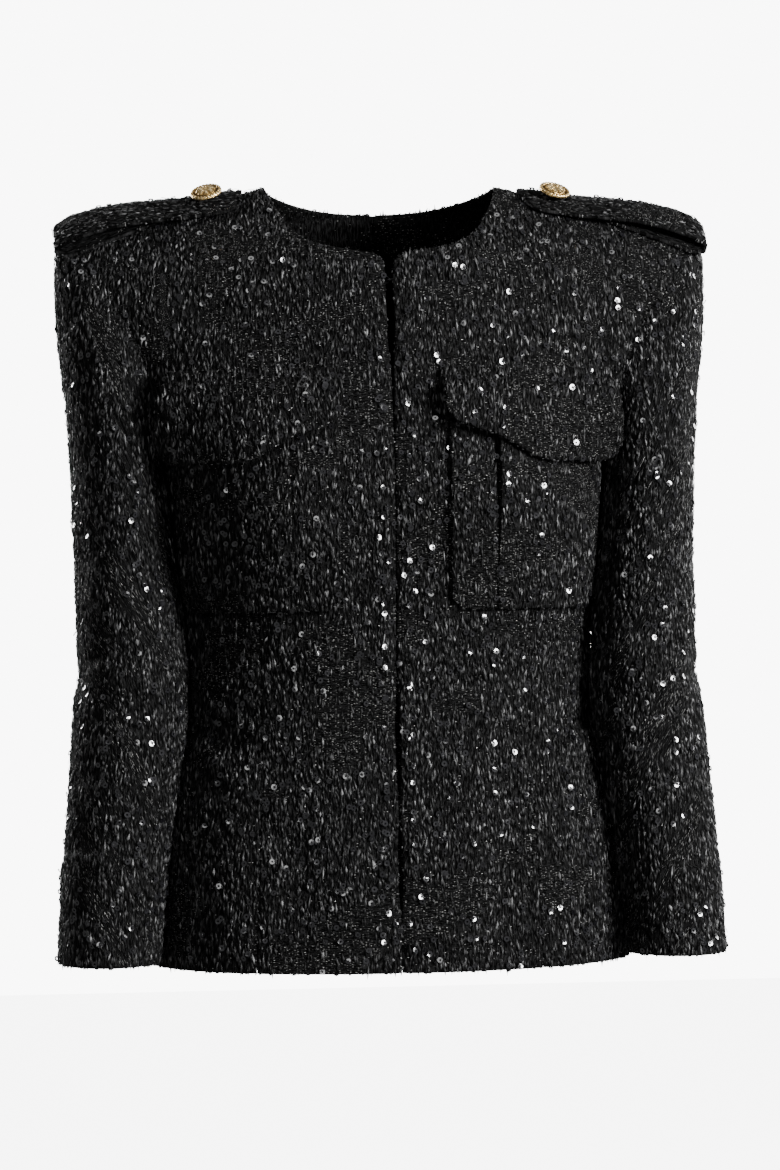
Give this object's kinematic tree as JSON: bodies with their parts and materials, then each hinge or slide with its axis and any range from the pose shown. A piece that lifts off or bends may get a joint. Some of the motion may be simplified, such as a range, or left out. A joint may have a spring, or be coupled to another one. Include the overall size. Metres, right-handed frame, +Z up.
{
  "type": "tweed jacket",
  "caption": "Collarless cropped tweed jacket worn open-necked, edge-to-edge front, flap chest pockets, shoulder straps and bracelet sleeves, as hollow cloth walls.",
  "frame": {"origin": "midway between the high shoulder points of the neckline, where the wearer's shoulders carry the jacket", "axes": "+X to the wearer's left, -Y out of the front, +Z up"},
  "size_m": [0.4604, 0.2294, 0.5382],
  "materials": {
    "tweed": "black boucle tweed with sequins and lurex",
    "gold_metal": "polished gold colour, cast relief",
    "hook_metal": "black lacquered wire"
  },
  "bodies": {
    "root": {"front_left": "tweed", "front_right": "tweed", "side_front_left": "tweed", "side_front_right": "tweed", "back_left": "tweed", "back_right": "tweed", "sleeve_upper_left": "tweed", "sleeve_upper_right": "tweed", "sleeve_under_left": "tweed", "sleeve_under_right": "tweed", "pocket_left": "tweed", "pocket_right": "tweed", "flap_left": "tweed", "flap_right": "tweed", "epaulette_left": "tweed", "epaulette_right": "tweed", "button_left": "gold_metal", "button_right": "gold_metal", "hook_1": "hook_metal", "eye_1": "hook_metal", "hook_2": "hook_metal", "eye_2": "hook_metal", "hook_3": "hook_metal", "eye_3": "hook_metal", "hook_4": "hook_metal", "eye_4": "hook_metal", "hook_5": "hook_metal", "eye_5": "hook_metal"}
  },
  "joints": []
}
